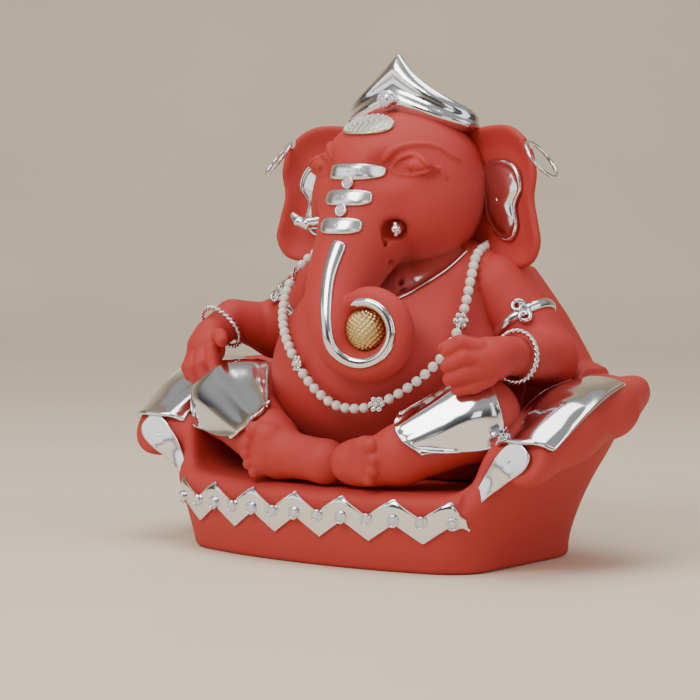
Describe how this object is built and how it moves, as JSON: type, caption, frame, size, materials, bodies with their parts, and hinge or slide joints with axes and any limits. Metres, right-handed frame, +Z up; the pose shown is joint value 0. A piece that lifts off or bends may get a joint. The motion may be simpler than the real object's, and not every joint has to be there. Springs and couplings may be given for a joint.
{
  "type": "seated elephant-headed idol",
  "caption": "Seated elephant-headed prayer idol on a small sofa, with plated trim, a pearl strand, swinging ear rings and loose bangles.",
  "frame": {"origin": "on the flat underside of the sofa, on the centre line, below the crown", "axes": "+Z up, the idol faces -Y, its own left hand is on +X"},
  "size_m": [0.1396, 0.0808, 0.127],
  "materials": {
    "red_resin": "matte sandy",
    "silver_plate": "bright plated",
    "gold_ball": "bright stippled",
    "pale_gold": "bright plated",
    "rhinestone": "faceted clear",
    "pearl": "pearl lustre",
    "thread": "twisted"
  },
  "bodies": {
    "root": {"band_bezels": "silver_plate", "band_stones": "rhinestone", "brow_plate": "pale_gold", "brow_stones": "rhinestone", "charms": "silver_plate", "collar": "silver_plate", "crown": "silver_plate", "crown_gem": "rhinestone", "face_bezels": "silver_plate", "face_stones": "rhinestone", "head": "red_resin", "left_arm": "red_resin", "left_arm_cap": "silver_plate", "left_armband": "silver_plate", "left_ear": "red_resin", "left_ear_plate": "silver_plate", "left_inlay": "silver_plate", "left_leg": "red_resin", "left_shin_cover": "silver_plate", "left_tusk": "silver_plate", "lower_face_bar": "silver_plate", "middle_face_bar": "silver_plate", "pearls": "pearl", "right_arm": "red_resin", "right_arm_cap": "silver_plate", "right_armband": "silver_plate", "right_ear": "red_resin", "right_ear_plate": "silver_plate", "right_inlay": "silver_plate", "right_leg": "red_resin", "right_shin_cover": "silver_plate", "right_tusk": "silver_plate", "sofa": "red_resin", "strand_knot": "thread", "strand_thread": "thread", "sweet_ball": "gold_ball", "torso": "red_resin", "trunk_stripe": "silver_plate", "upper_face_bar": "silver_plate", "zigzag_band": "silver_plate"},
    "left_bangle": {"left_bangle": "silver_plate"},
    "left_earring": {"left_earring": "silver_plate"},
    "right_bangle": {"right_bangle": "silver_plate"},
    "right_earring": {"right_earring": "silver_plate"}
  },
  "joints": [
    {"name": "left_bangle_spin", "type": "hinge", "parent": "root", "child": "left_bangle", "pos_m": [0.0461, -0.02465, 0.05195], "axis": [-0.0172, -0.9915, 0.1293], "continuous": true},
    {"name": "right_bangle_spin", "type": "hinge", "parent": "root", "child": "right_bangle", "pos_m": [-0.0493, -0.024, 0.0556], "axis": [-0.117, -0.8191, -0.5616], "continuous": true},
    {"name": "left_earring_swing", "type": "hinge", "parent": "root", "child": "left_earring", "pos_m": [0.03801, -0.00661, 0.1042], "axis": [-0.2419, -0.9703, 0], "range_deg": [0, 45]},
    {"name": "right_earring_swing", "type": "hinge", "parent": "root", "child": "right_earring", "pos_m": [-0.0373, -0.00894, 0.1042], "axis": [0.342, -0.9397, 0], "range_deg": [-45, 0]}
  ]
}
